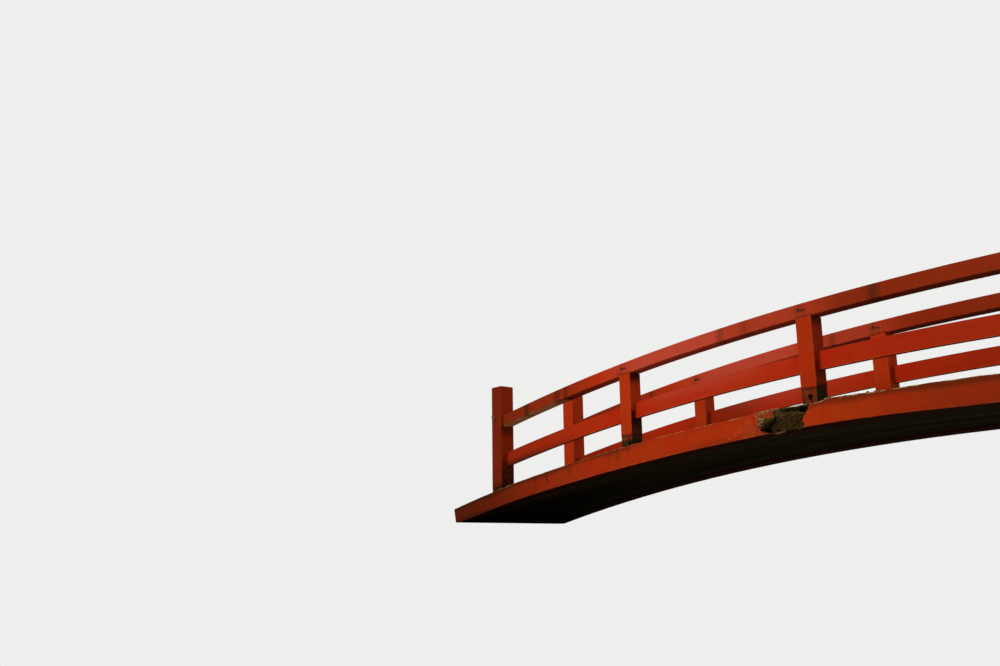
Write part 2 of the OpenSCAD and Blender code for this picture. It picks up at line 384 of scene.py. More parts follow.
@finish
def beam_paint(g, at):
    """Edge beams: a brown dirt layer that thickens upwards, drips under the posts, lichen and moss
    along the upper edge, and the rotten wood that the near beam's marks give. Painted shade darkens
    them towards the banks, about the crown, near the lower edge, on the bottom face, on the inner
    faces and in stretches along the span, and a painted highlight pales the lower arris."""
    bare, damp, hollow, frayed, pale = map(g.mark, ("bare", "damp", "hollow", "frayed", "pale"))
    chipped, scraped, growth, mossy = map(g.mark, ("chipped", "scraped", "growth", "mossy"))
    x, h, place = at["Level X"], at["Height"], at["Unrolled"]
    h_from_edge = h + g.mark("drop")
    away = abs(x)
    broad = place.scaled(1.6, 1.6, 1.6).noise(detail=3)
    drip = place.scaled(22, 22, 2.2).noise(detail=3)
    # A brown dirt layer that deepens upwards; its strength along the span, weakest between x =
    # -1.75 and -1.05, is painted shade
    film = ((h + broad * 0.06 - 0.03).ease(-0.042, 0.0)
            * (place.scaled(70, 70, 5).noise() * 0.30 + 0.48)
            * ((x.ease(-1.75, -2.2) + x.ease(-1.05, -0.5)) * 0.8 + 0.2))
    run = (drip.ease(0.50, 0.66) * h.ease(-0.13, -0.01)
           * (abs(from_post(g, at)).ease(0.22, 0.02) * 0.70 + 0.12))
    # Painted shade: darker towards the banks, about the crown, and near the lower edge, most at the
    # bank end and near x = -1.3; towards the banks some dirt is added as grime too
    ends = away.ease(1.7, 4.0)
    low = h_from_edge.ease(-0.080, -0.118) * (x.bump(-1.3, 0.5) * 0.30
                                              + away.ease(3.5, 3.95) * 0.35 + 0.06)
    darkening = film + ends * 0.55 + x.bump(0.35, 1.1) * 0.45 + low + 0.10
    near = g.math("LESS_THAN", at["Across"], 0.0)
    along = at["Along"] + place.scaled(0, 0, 45).noise() * 0.024 - 0.012
    for s, half_width, above, below, strength in BEAM_DRIPS:
        darkening = darkening + (along.bump(s, half_width) * h.between(-below, -above, 0.012)
                       * near * strength)
    darkening = darkening + chipped * chipped * (0.85 - broad)
    # Painted shade on the bottom face
    under = h_from_edge.ease(0.004 - BEAM_H, 0.001 - BEAM_H)
    top = h.ease(-0.007, -0.001)
    # Painted highlight along the lower arris
    low_edge = h_from_edge.between(0.0005 - BEAM_H, 0.006 - BEAM_H)

    rough_rot = bare - damp
    fleck = place.scaled(170, 170, 40).noise().ease(0.60, 0.67)
    wood = g.mix(frayed.most(pale), g.mix(damp, ROTTEN_WOOD, SMOOTH_ROT), PINK_WOOD)
    colour, rough, relief = weathered(
        g, at, Wood=wood, Grime=run + ends * 0.15, Haze=darkening.least(0.92).most(under * 0.92),
        Lichen=(top * place.noise(9.0, detail=3) * 0.96 + growth * 0.86 + mossy * 0.34
                + fleck * rough_rot * 0.56),
        Moss=rough_rot * 0.42 + mossy * 0.66 + top * 0.36, Edge=low_edge + chipped * 0.40,
        Bare=top * 0.35 + bare * 1.5 + chipped * 0.30 + frayed * 0.56)
    slant = g.node("VectorRotate", {"Vector": place, "Angle": 0.75}, rotation_type="Y_AXIS")[0]
    scratch = slant.scaled(3.0, 1.0, 60.0).noise().bump(0.5, 0.010) * drip.ease(0.48, 0.60)
    colour = g.mix(scratch * chipped * 0.45, colour, WORN_EDGE_AND_HIGHLIGHT)
    mottle = place.noise(150.0, detail=1).ease(0.54, 0.64)
    colour = g.mix(mottle * chipped * chipped * 0.7, colour, CHALKY_PAINT_AND_SHEEN)
    colour = g.mix(scraped, colour, WORN_EDGE_AND_HIGHLIGHT)
    spot = place.noise(105.0, detail=1)
    colour = g.mix(spot.ease(0.63, 0.68) * chipped * 0.8, colour,
                   g.mix(spot.ease(0.70, 0.74), MOSS, DARK_WOOD))
    # Painted shade in the holes, notch, crack and cleft of the rot, and dark specks
    colour = g.mix(hollow, colour, DARK_HOLLOW)
    # Painted shade: darker towards the banks, on the bottom face and on the beams' inner faces
    inner = (abs(at["Across"]).ease(CLEAR_HALF + 0.004, CLEAR_HALF + 0.001)
             * h.ease(-0.03, -0.06) * away.ease(3.96, 3.90))
    shade = (0.94 - away.ease(2.5, 4.05) * 0.48) * (1.0 - under * 0.5) * (1.0 - inner * 0.80)
    return colour.shade(shade), rough, relief


@finish
def post_paint(g, at):
    """Posts: soiled towards the foot, darkened by painted shade, paler along the corners by worn
    paint and a painted highlight, with hollows painted dark as shade, and bare wood under the
    ragged line that the marks on the points give"""
    bare, hollow, teeth = map(g.mark, ("bare", "hollow", "teeth"))
    soiled, corner, film = map(g.mark, ("soiled", "corner", "film"))
    h, upright = at["Height"], at["Upright"]
    patch = (at["Unrolled"].noise(14.0, detail=3) + soiled * 0.5).ease(0.56, 0.72)
    colour, rough, relief = weathered(
        g, at, Grain=upright, Wood=g.mix(patch, STAINED_WOOD, GREY_WOOD), Bare=bare * 1.2,
        Edge=corner * 0.35, Haze=(soiled * 0.90).most(film * 0.60),
        Grime=h.ease(0.30, 0.02) * 0.30 + soiled * 0.6,
        Moss=h.ease(0.05, -0.01) * (soiled * 0.40 + 0.20))
    jagged = teeth * upright.scaled(30, 160, 160).noise().ease(0.34, 0.48)
    colour = g.mix(jagged * 0.85, colour, BURNT_RED)
    # Hollows painted dark as shade
    colour = g.mix(hollow, colour, DARK_HOLLOW)
    # Painted shade: the shade mark darkens the colour, more strongly above 0.95
    shade = (1.0 - film.ease(0.95, 1.50) * 0.60) * (1.0 - film.least(1.0) * 0.46)
    return colour.shade(shade), rough, relief


# Rain stains down the top rails: side of the bridge, level place, half width, strength
RAIL_STAINS = ((-1, -3.262, 0.048, 0.8), (-1, -2.900, 0.065, 0.6), (-1, -2.800, 0.042, 0.65),
               (-1, -1.334, 0.055, 0.6), (-1, -1.148, 0.060, 0.3), (-1, -0.285, 0.065, 0.6),
               (-1, 0.93, 0.036, 0.5), (-1, 2.47, 0.044, 0.7), (1, -1.05, 0.045, 0.5),
               (1, -2.66, 0.035, 0.6), (1, 0.36, 0.040, 0.5), (1, 1.92, 0.035, 0.6))


@finish
def top_rail_paint(g, at):
    """Top rails: the seams of the lapped joints, soiled peg holes and a few rain stains, paler pink
    paint on the left half as painted sheen and fading, painted shade towards the ends, about the
    crown and underneath, a painted highlight along the lower arris, and bare wood under both ends"""
    x, h, place = at["Level X"], at["Height"], at["Unrolled"]
    post = from_post(g, at)
    peg = post + JOINT_SHIFT
    level = h - (RAIL_TOP - LAP_LINE)
    above = level.ease(-0.001, 0.001)
    upright = (peg.bump(0.0, 0.0025) * above).most(peg.bump(LAP_LENGTH, 0.0025) * (1.0 - above))
    wedge = level.bump(-0.004, 0.009) * peg.between(0.010, LAP_LENGTH, 0.006)
    crease = ((level + place.noise(60.0) * 0.02).bump(-0.018, 0.006)
              * peg.between(-0.062, -0.008, 0.008) * x.ease(-1.6, -1.9))
    seam = (upright * 0.22).most(crease * 0.55).most(wedge * 0.80)
    from_peg = g.node("VectorMath", {0: g.vector(peg, level, 0.0)}, operation="LENGTH")["Value"]
    on_post = abs(post).ease(0.070, 0.050) * h.ease(RAIL_LOW + 0.022, RAIL_LOW + 0.004)

    wavering = x + place.scaled(0, 0, 30.0).noise() * 0.02 - 0.01
    side = g.math("SIGN", at["Across"])
    stains = 0.0
    for stained_side, middle_x, half_width, strength in RAIL_STAINS:
        here = g.math("COMPARE", side, stained_side, 0.1)
        stains = (wavering.bump(middle_x, half_width) * strength * here).most(stains)

    top = h.ease(RAIL_TOP - 0.006, RAIL_TOP - 0.001)
    # Painted shade on the underside
    under = h.ease(RAIL_LOW + 0.004, RAIL_LOW + 0.001)
    away = abs(x)
    base = under * away.ease(2.75, 2.95)
    painted = 1.0 - base
    # Painted shade along the span: towards the ends and about the crown
    crown = (x.ease(-1.38, -1.22) * 0.24 + x.ease(-0.75, -0.48) * 0.38) * x.ease(1.6, 0.9)
    darkening = away.ease(2.35, 2.85) * 0.52 + away.ease(2.85, 3.6) * 0.22 + crown
    # Paler pink paint on the left half: painted sheen and fading
    chalk_and_sheen = (x.ease(-2.50, -1.95) * x.ease(-0.35, -0.95)
             * (1.0 - x.ease(-1.45, -1.20) * 0.45))
    colour, rough, relief = weathered(
        g, at, Wood=PALE_WOOD, Fresh=g.mix(chalk_and_sheen, FRESH_PAINT, CHALKY_PAINT_AND_SHEEN),
        Faded=g.mix(chalk_and_sheen, FADED_PAINT, CHALKY_PAINT_AND_SHEEN),
        Haze=stains * 0.6 + (darkening + under * 0.2) * painted,
        Grime=(from_peg.ease(0.060, 0.010) * 0.5 + on_post * 0.7 * painted + stains * 0.4
               + top * 0.25),
        Bare=top * 0.28 + base, Lichen=top * 0.24 + base * 0.10,
        # Painted highlight along the lower arris
        Edge=h.between(RAIL_LOW + 0.0005, RAIL_LOW + 0.006) * 0.8)
    return g.mix(seam, colour, SEAM), rough, relief - seam * 0.003


@finish
def mid_rail_paint(g, at):
    """Middle rails: a redder coat, soiled where they enter the posts, paler pink on the left half
    as painted sheen and fading, painted shade towards the ends, about the crown, underneath and on
    a stretch of the far rail, and a painted highlight along the lower arris
    """
    x, h = at["Level X"], at["Height"]
    away = abs(x)
    top = h.ease(MID_RAIL_TOP - 0.004, MID_RAIL_TOP - 0.001)
    # Painted shade: the lowest part and the ends darker towards the banks, and the crown
    lowest = h.ease(MID_RAIL_LOW + 0.050, MID_RAIL_LOW + 0.004) * away.ease(2.5, 3.3)
    darkening = away.ease(2.4, 3.7) * 0.42 + lowest * 0.55 + x.bump(0.10, 1.2) * 0.24 + 0.08
    # Painted shadow on a stretch of the far rail
    far_shadow = at["Across"].ease(0.2, 0.3) * x.bump(-1.95, 0.5) * 0.5
    # Paler pink paint on the left half: painted sheen and fading
    chalk_and_sheen = (x.ease(-2.15, -1.80) * x.ease(-0.70, -1.50) * 0.60
             * (h.ease(MID_RAIL_LOW + 0.02, MID_RAIL_TOP) * 0.85 + 0.15))
    return weathered(
        g, at, Fresh=g.mix(chalk_and_sheen, RED_PAINT, CHALKY_PAINT_AND_SHEEN),
        Faded=g.mix(chalk_and_sheen, DEEP_PAINT, CHALKY_PAINT_AND_SHEEN),
        # Painted highlight along the lower arris
        Edge=h.between(MID_RAIL_LOW + 0.0005, MID_RAIL_LOW + 0.004) * 0.6,
        # Painted shade on the underside, along the span and on the far stretch
        Haze=h.ease(MID_RAIL_LOW + 0.002, MID_RAIL_LOW) * 0.5 + darkening + far_shadow,
        Grime=abs(from_post(g, at)).ease(0.085, 0.05) * 0.5 + top * 0.3, Lichen=top * 0.22)


@finish
def deck_wood(g, at):
    """Deck planks: grey bare wood, each plank with a tone and grain of its own"""
    tone = g.mark("tone")
    grain = g.vector(at["Across"] + tone * 9.0, at["Along"] + tone * 5.0, at["Height"] * 2.0)
    return weathered(g, at, Grain=grain, Bare=1.2, Wood=g.mix(tone, *DECK_WOOD),
                     Grime=at["Unrolled"].noise(3.0) * 0.8)


@finish
def soffit_wood(g, at):
    """Underside boards: damp wood, greenish, with dark bands along the boards"""
    bands = at["Unrolled"].scaled(0.7, 9, 9).noise(detail=3)
    wood = g.mix(bands.ease(0.35, 0.65), *DAMP_BOARDS).shade(g.mark("tone") * 0.20 + 0.9)
    return weathered(g, at, Bare=1.2, Wood=wood, Moss=bands * 0.40)


@finish
def rusty_iron(g, at):
    """Nail heads: brown rust over dark iron"""
    patch = at["Unrolled"].noise(240.0, detail=3)
    colour = g.mix(patch.ease(0.35, 0.65), IRON_DARK, IRON_RUST)
    return colour, patch * 0.3 + 0.6, patch * 0.0006


@finish
def dull_zinc(g, at):
    """Screw eye: matt zinc with some rust"""
    patch = at["Unrolled"].noise(160.0, detail=3)
    colour = g.mix(patch.ease(0.52, 0.62), ZINC, IRON_RUST)
    return colour, patch * 0.2 + 0.4, patch * 0.0003


@finish
def end_grain(g, at):
    """Pegs: weathered end grain, greyish green"""
    patch = at["Unrolled"].noise(190.0, detail=3)
    return g.mix(patch.ease(0.38, 0.62), *END_GRAIN), 0.9, patch * 0.0012


@finish
def broken_wood(g, at):
    """Splinters: pale wood where it broke, darker where it has been wet"""
    patch = at["Unrolled"].noise(90.0, detail=3)
    colour = g.mix(g.mark("tone"), ROTTEN_WOOD, g.mix(patch, PINK_WOOD, LICHEN))
    return colour, 0.9, patch * 0.0008


@finish
def moss_cushion(g, at):
    """Moss cushions: pale tips over a dark, damp base"""
    fine = at["Unrolled"].noise(420.0)
    broad = at["Unrolled"].noise(60.0)
    tips = (fine * 0.6 + broad * 0.4).ease(0.42, 0.60)
    return g.mix(tips, darker(MOSS, 0.5), g.mix(broad, MOSS, LICHEN)), 1.0, fine * 0.002


def ease(value, low, high):
    """0 at low and 1 at high, eased between them; low may be the larger"""
    share = np.clip((value - low) / (high - low), 0, 1)
    return share * share * (3 - 2 * share)


def window(value, rise, full, fall, end):
    """Eased from 0 at rise to 1 at full, and back from 1 at fall to 0 at end"""
    return ease(value, rise, full) * ease(value, end, fall)


def bell(value, centre, reach):
    """Bell curve: 1 at centre, 1/e at a distance of reach"""
    return np.exp(-((value - centre) / reach) ** 2)


def relief(u, v, cell, seed, octaves=4):
    """Random relief in -1 to 1: random values on a square grid of this cell size, joined by an
    eased blend of the four corners round each point; each octave halves cell and height"""
    rng = np.random.default_rng(seed)
    total = np.zeros(np.broadcast(u, v).shape)
    side = 256
    for octave in range(octaves):
        knots = rng.uniform(-1, 1, (side, side))
        a, b = u / cell * 2 ** octave, v / cell * 2 ** octave
        i, j = np.floor(a).astype(int), np.floor(b).astype(int)
        p, q = ease(a - i, 0, 1), ease(b - j, 0, 1)
        for row, row_share in ((i, 1 - p), (i + 1, p)):
            for column, column_share in ((j, 1 - q), (j + 1, q)):
                corner = knots[row % side, column % side]
                total = total + corner * row_share * column_share * 0.5 ** octave
    return total


def points_at(x, y, z):
    """Array of points from their coordinates, of shapes that fit together"""
    return np.stack(np.broadcast_arrays(x, y, z), -1)


def on_arch(s, h, y):
    """Points at s along the arch, h above its top line and y across: the polar form of the arc"""
    angle, reach = s / ARCH_R, ARCH_R + h
    return points_at(reach * np.sin(angle), y, CENTRE_Z + reach * np.cos(angle))


def settle(mesh, weld=False):
    """Turns the faces outwards; weld first merges points that lie on one another"""
    shell = bmesh.new()
    shell.from_mesh(mesh)
    if weld:
        bmesh.ops.remove_doubles(shell, verts=shell.verts, dist=1e-6)
        bmesh.ops.dissolve_degenerate(shell, edges=shell.edges, dist=1e-6)
    bmesh.ops.recalc_face_normals(shell, faces=shell.faces)
    shell.to_mesh(mesh)
    shell.free()


def new_object(name, data):
    """Object of this data, linked into the scene"""
    made = bpy.data.objects.new(name, data)
    bpy.context.scene.collection.objects.link(made)
    return made


class Shells:
    """Closed shells of one piece, each a row of rings of points with faces between them."""

    def __init__(self):
        self.points = []
        self.faces = []
        self.marks = {}
        self.count = 0

    def add(self, rings, pointed=False, **marks):
        """Adds an array of (ring, point, 3): quads between neighbouring rings and a face over
        each end, or over the first one only where the shell is pointed. The marks are values on
        its points that the material reads."""
        stations, around = rings.shape[:2]
        i, j = np.indices((stations - 1, around))
        k = (j + 1) % around
        quads = np.stack((i * around + j, i * around + k,
                          (i + 1) * around + k, (i + 1) * around + j), -1)
        loop = np.arange(around)
        self.faces += (self.count + quads.reshape(-1, 4)).tolist()
        self.faces.append((self.count + loop[::-1]).tolist())
        if not pointed:
            self.faces.append((self.count + (stations - 1) * around + loop).tolist())
        self.points.append(rings.reshape(-1, 3))
        self.count += stations * around
        for label, values in marks.items():
            values = np.broadcast_to(values, (stations, around)).ravel()
            self.marks.setdefault(label, []).append(values)

    def piece(self, name, material, sharp=35.0, weld=False):
        """Object of these shells, turned outwards, smooth but for edges over the sharp angle"""
        mesh = bpy.data.meshes.new(name)
        mesh.from_pydata(np.concatenate(self.points).tolist(), [], self.faces)
        settle(mesh)
        for label, values in self.marks.items():
            mark = mesh.attributes.new(label, "FLOAT", "POINT")
            mark.data.foreach_set("value", np.concatenate(values).astype(np.float32))
        mesh.polygons.foreach_set("use_smooth", np.ones(len(mesh.polygons), bool))
        mesh.set_sharp_from_angle(angle=math.radians(sharp))
        mesh.materials.append(material)
        made = new_object(name, mesh)
        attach(made, "root")
        if weld:
            settle(mesh, weld=True)
        return made


def bevelled_outline(half_a, low_b, high_b, arris):
    """Eight corners of a rectangle with bevelled edges, in the plane (a, b)"""
    a = np.array((-half_a + arris, half_a - arris, half_a, half_a,
                  half_a - arris, -half_a + arris, -half_a, -half_a))
    b = np.array((low_b, low_b, low_b + arris, high_b - arris,
                  high_b, high_b, high_b - arris, low_b + arris))
    return a, b


def dense_outline(corners, steps):
    """Closed outline through these corners, each side cut into even steps of about this size;
    gives its two coordinates as rows"""
    sides = []
    for a, b, step in zip(corners, corners[1:] + corners[:1], steps):
        count = max(1, round(math.dist(a, b) / step))
        share = np.arange(count)[:, None] / count
        sides.append(np.array(a) * (1 - share) + np.array(b) * share)
    return np.concatenate(sides).T[:, None]


def nail_heads(name, places, up, radius=0.0055):
    """Low domes of eight sides at these places (s, h, y), standing up or down from the board"""
    places = np.array(places)[..., None, None]
    turn = np.arange(8) * math.pi / 4
    out = radius * np.array((1.0, 0.85, 0.0))[:, None]
    rise = up * radius * np.array((-0.3, 0.15, 0.25))[:, None]
    nails = Shells()
    for rings in on_arch(places[:, 0] + out * np.cos(turn), places[:, 1] + rise,
                         places[:, 2] + out * np.sin(turn)):
        nails.add(rings, pointed=True)
    nails.piece(name, rusty_iron, sharp=60, weld=True)


def deck_planks():
    """Cross planks: a bevelled outline in the plane (s, h), carried across the bridge, hollowed
    a little along the walking line. A plank between two posts is cut to fit between them."""
    rng = np.random.default_rng(11)
    gap, arris, stations, planks_a_bay = 0.006, 0.003, 12, 11
    pitch = BAY / planks_a_bay
    post_s = [arc_to(x) for x in POST_X]
    middles = np.concatenate((np.arange(post_s[0], -BOARD_REACH, -pitch)[:0:-1],
                              *[np.linspace(a, b, planks_a_bay, endpoint=False)
                                for a, b in zip(post_s, post_s[1:])],
                              np.arange(post_s[-1], BOARD_REACH, pitch)))
    planks, nails = Shells(), []
    for index, centre in enumerate(middles):
        low = max(centre - pitch / 2 + gap / 2, -BOARD_REACH)
        high = min(centre + pitch / 2 - gap / 2, BOARD_REACH)
        near_post = min(range(BAYS + 1), key=lambda k: abs(post_s[k] - centre))
        half_y = CLEAR_HALF - 0.001
        if abs(post_s[near_post] - centre) < pitch / 2:
            side_of_post = END_POST_W if near_post in (0, BAYS) else POST_W
            half_y = POST_LINE - side_of_post / 2 - 0.002
        s, h = bevelled_outline((high - low) / 2, -DECK_LOW, -DECK_DROP, arris)
        y = np.linspace(-half_y, half_y, stations)[:, None]
        lift = rng.uniform(-0.0012, 0.0012)
        wear = -0.0025 * bell(y, 0.0, 0.22) + 0.0008 * relief(y, index * 7.0, 0.2, 12)
        h = h + np.where(h > -DECK_DROP - DECK_T / 2, lift + wear, 0)
        s = (low + high) / 2 + s + 0.0008 * relief(y, index * 5.0 + 3, 0.3, 13)
        planks.add(on_arch(s, h, y), tone=rng.uniform(0, 1))
        nails += [((low + high) / 2 + offset * (high - low), -DECK_DROP + lift,
                   side * (half_y - 0.025)) for side in (-1, 1) for offset in (-0.3, 0.3)]
    made = planks.piece("deck_planks", deck_wood)
    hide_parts("deck")
    nail_heads("deck_nails", nails, 1)


# Joists on which the boards of each row of the underside are joined
SOFFIT_JOINTS = ((3, 7), (1, 5, 9), (4, 8), (2, 6), (3, 9), (1, 5, 7))


def soffit_boards():
    """Boards along the underside: a bevelled outline in the plane (y, h), carried along the arc
    between joints that fall on the joists, staggered from one row to the next"""
    rng = np.random.default_rng(21)
    gap, arris, step = 0.003, 0.0025, 0.12
    top = -DECK_LOW - JOIST_H
    joists = [arc_to((j / 2 - BAYS / 2) * BAY) for j in range(2 * BAYS + 1)]
    board_w = 2 * CLEAR_HALF / len(SOFFIT_JOINTS)
    boards, nails = Shells(), []
    for row, joints in enumerate(SOFFIT_JOINTS):
        y_middle = -CLEAR_HALF + (row + 0.5) * board_w
        ends = [-BOARD_REACH] + [joists[j] for j in joints] + [BOARD_REACH]
        for s0, s1 in zip(ends, ends[1:]):
            stations = int((s1 - s0) / step) + 2
            s = np.linspace(s0 + gap / 3, s1 - gap / 3, stations)[:, None]
            a, b = bevelled_outline((board_w - gap) / 2, top - SOFFIT_T, top, arris)
            sag = 0.0010 * relief(s, row * 9.0, 0.5, 22) + rng.uniform(-0.0008, 0.0008)
            h = b + np.where(b < top - SOFFIT_T / 2, np.abs(sag), 0)
            y = y_middle + a + 0.0006 * relief(s, row * 4.0, 0.4, 23)
            boards.add(on_arch(s, h, y), tone=rng.uniform(0, 1))
        nails += [(joist + rng.uniform(-0.012, 0.012), top - SOFFIT_T + 0.0006,
                   y_middle + offset * board_w) for joist in joists for offset in (-0.32, 0.32)]
    made = boards.piece("soffit_boards", soffit_wood)
    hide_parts("soffit")
    nail_heads("soffit_nails", nails, -1)


# Outline of the rot on the outer face: depths w in mm, and where along s the paint ends there
ROT_DEPTHS = (0, 10, 20, 42, 57, 84, 96, 103, 111, 122, 126)
ROT_LEFT = (-868, -876, -885, -884, -935, -972, -984, -982, -966, -938, -930)
ROT_RIGHT = (-645, -655, -664, -673, -690, -706, -698, -694, -698, -704, -706)
# Upper edge of the near beam over the true arch: s, and the rise in mm
EDGE_RISE = ((-4.2, 1), (-3.25, 4), (-2.75, 1), (-1.06, 1), (-1.00, 7), (-0.95, 12), (-0.89, 12),
             (-0.85, 9), (-0.80, 6), (-0.72, 5), (-0.66, 2), (-0.60, 1), (-0.55, 9), (-0.45, 11),
             (-0.38, 9), (-0.24, 5), (-0.14, 3), (0.0, 4), (0.25, 4), (0.45, 1), (4.2, 1))
# Its lower edge under the true arch: s, and the drop in mm
BELLY = ((-3.6, 0), (-3.2, 2), (-2.9, 6), (-2.5, 9), (-1.9, 9), (-1.6, 6), (-1.3, 5),
         (-1.05, 3), (-0.95, 0))
# Scratches in the paint left of the rot, from one end to the other as s, w and s, w
SCRATCHES = ((-1.195, 0.103, -1.166, 0.100), (-1.223, 0.110, -1.207, 0.101),
             (-1.186, 0.090, -1.153, 0.073), (-1.152, 0.062, -1.137, 0.058),
             (-1.126, 0.052, -1.083, 0.038), (-1.080, 0.036, -1.058, 0.024),
             (-1.020, 0.010, -1.002, 0.028), (-1.060, 0.048, -1.046, 0.041),
             (-1.110, 0.119, -1.076, 0.118), (-1.048, 0.121, -1.020, 0.119),
             (-1.140, 0.086, -1.128, 0.079), (-1.052, 0.090, -1.046, 0.104))
# Dark specks there as s, w, radius, and the places of tufts of moss
DARK_SPECKS = ((-1.126, 0.099, 0.0045), (-1.109, 0.051, 0.0040), (-1.099, 0.043, 0.0045),
               (-1.020, 0.023, 0.0045), (-1.068, 0.066, 0.0030), (-1.036, 0.088, 0.0030))
MOSS_TUFTS = ((-1.013, 0.073), (-1.026, 0.059), (-1.004, 0.079))


def rot_end(w, ends):
    """Where along s the rot ends at the depth w, on its left or right side"""
    return np.interp(w, np.array(ROT_DEPTHS) / 1000, np.array(ends) / 1000)


def along_edge(s, heights):
    """Height at s between the listed places, turned from mm to metres"""
    return np.interp(s, *np.array(heights).T) / 1000


def scratch(s, w, s0, w0, s1, w1):
    """1 on the line between two places, eased down to 0 over 3 mm, with a broken outline"""
    run, drop = s1 - s0, w1 - w0
    share = np.clip(((s - s0) * run + (w - w0) * drop) / (run ** 2 + drop ** 2), 0, 1)
    away = np.hypot(s - s0 - share * run, w - w0 - share * drop)
    return ease(away, 0.0034, 0.0006) * np.clip(0.72 + 1.1 * relief(s, w, 0.006, 49, 2), 0, 1)


def decayed_beam():
    """Near edge beam as one surface: rings of its bevelled section along the arc, packed closely
    where it has rotted. There the outer face sinks in by a depth that is a sum of smooth steps
    and ripples along the grain: a thin rim survives along the top, an undercut below it runs into
    a hollow, and the lower edge has gone deepest. Moss swells over the edge of the paint."""
    s = np.concatenate((np.arange(-HALF_ARC, -1.24, 0.03), np.arange(-1.24, -0.62, 0.0018),
                        np.arange(-0.62, 0.5, 0.01), np.arange(0.5, HALF_ARC, 0.04),
                        [HALF_ARC]))[:, None]
    back, low = BEAM_W - BEAM_ARRIS, BEAM_H - BEAM_ARRIS
    corners = [(BEAM_ARRIS, 0), (0, BEAM_ARRIS), (0, low), (BEAM_ARRIS, BEAM_H),
               (back, BEAM_H), (BEAM_W, low), (BEAM_W, BEAM_ARRIS), (back, 0)]
    q, w = dense_outline(corners, (0.0025, 0.0018, 0.0025, 0.005, 0.004, 0.03, 0.004, 0.005))

    # The rot: where the wood lies open, and how deep it has sunk
    tear = 0.007 * relief(w, 5.0, 0.016, 31) + 0.003 * relief(w, 9.0, 0.004, 32)
    left = rot_end(w, ROT_LEFT) + tear
    right = rot_end(w, ROT_RIGHT) + tear * 0.6
    open_wood = window(s, left - 0.002, left + 0.003, right - 0.003, right + 0.002)
    outer = ease(q, 0.09, 0.0)
    smooth_zone = ease(s, -0.83, -0.89) * ease(w, 0.045, 0.075)
    rim = ease(w + 0.003 * relief(s, 2.0, 0.012, 39), 0.013, 0.007)
    undercut = bell(w, 0.021, 0.008) * ease(s, -0.90, -0.76)
    cleft = (bell(s, right - 0.008, 0.007) * ease(w, 0.040, 0.055)
             + 0.7 * ease(s, -0.80, -0.73) * ease(w, 0.096, 0.112))
    fibres = relief(s * 0.16, w + q, 0.005, 33, 3) + 0.9 * relief(s, w * 1.2 + q, 0.009, 48, 3)
    lumps = relief(s, w * 1.4 + q, 0.045, 34, 3)
    notch = bell(s, -0.965, 0.015) * bell(w, 0.100, 0.010)
    hole = ease(((s + 0.697) / 0.036) ** 2 + ((w - 0.025) / 0.0125) ** 2, 1.25, 0.75)
    pit = bell(s, -0.898, 0.012) * bell(w, 0.112, 0.0045)
    sunk = (0.008 + 0.030 * ease(w, 0.045, BEAM_H) + 0.018 * undercut + 0.006 * smooth_zone
            + 0.010 * cleft + (0.0050 * lumps + 0.0035 * fibres) * (1 - 0.7 * smooth_zone))
    sunk = sunk * (1 - rim) + (0.002 + 0.0015 * fibres) * rim
    depth = open_wood * np.maximum(sunk, 0.001) + 0.035 * notch + 0.075 * hole + 0.010 * pit

    # A mossy lump over the paint's edge, a lower ridge that runs on from it, and the crack below
    face = ease(q, 0.02, 0.0)
    ragged = 0.004 * relief(s, w, 0.012, 42)
    lump = (window(s + ragged, -0.993, -0.985, -0.936, -0.927)
            * ease(w - 0.25 * (s + 0.957) + ragged, 0.027, 0.034)
            * ease(w + 0.85 * (s + 0.966) + ragged, 0.095, 0.087)
            * ease(w - 1.2 * (s + 0.987) + ragged, 0.078, 0.070))
    ridge = (ease(w + ragged, 0.034, 0.041) * ease(w + 0.50 * (s + 0.953) + ragged, 0.083, 0.076)
             * window(s, -0.956, -0.944, -0.880, -0.866))
    both = np.maximum(lump, ridge) * face
    crack = (bell(w + 0.485 * (s + 0.953), 0.088, 0.0035)
             * window(s, -0.975, -0.960, -0.890, -0.872)) * (1 - both)
    swell = (lump * (0.013 + 0.007 * relief(s, w, 0.018, 35)) + (1 - lump) * ridge * 0.007
             + both * (0.004 * relief(s, w, 0.007, 41) + 0.002 * relief(s, w, 0.003, 46)))
    depth = depth * (1 - both) - swell * face + 0.012 * crack
    # Pale lichen on the lump's upper left, with a painted highlight where light falls on the lump
    crest = lump * ease(s + 0.987 + (w - 0.030) + 3 * ragged, 0.060, 0.042)

    # The lower edge sags where it is rotten, is lost beside that, and bellies out elsewhere
    low_half = ease(w, 0.09, BEAM_H)
    lip = window(s, -0.945, -0.920, -0.855, -0.835) * ease(w, 0.10, BEAM_H)
    sag = lip * (0.002 + 0.002 * relief(s, q, 0.012, 36))
    broken = open_wood * low_half * (1 - lip) * ease(q, 0.09, 0.02)
    edge_loss = broken * (0.006 + 0.003 * relief(s, q, 0.016, 37))
    belly = (along_edge(s, BELLY) + 0.0065 * window(s, -0.25, 0.25, 0.7, 1.3)
             - 0.0025 * window(s, -0.72, -0.68, -0.40, -0.28)) * low_half
    rise = along_edge(s, EDGE_RISE) + 0.0012 * relief(s, 3.0, 0.05, 47)
    new_q = q + depth * outer
    new_w = (w + (sag - edge_loss) * ease(q, 0.09, 0.03) + belly * ease(q, 0.06, 0.0)
             - rise * ease(w, 0.05, 0.0) * ease(q, 0.12, 0.04))

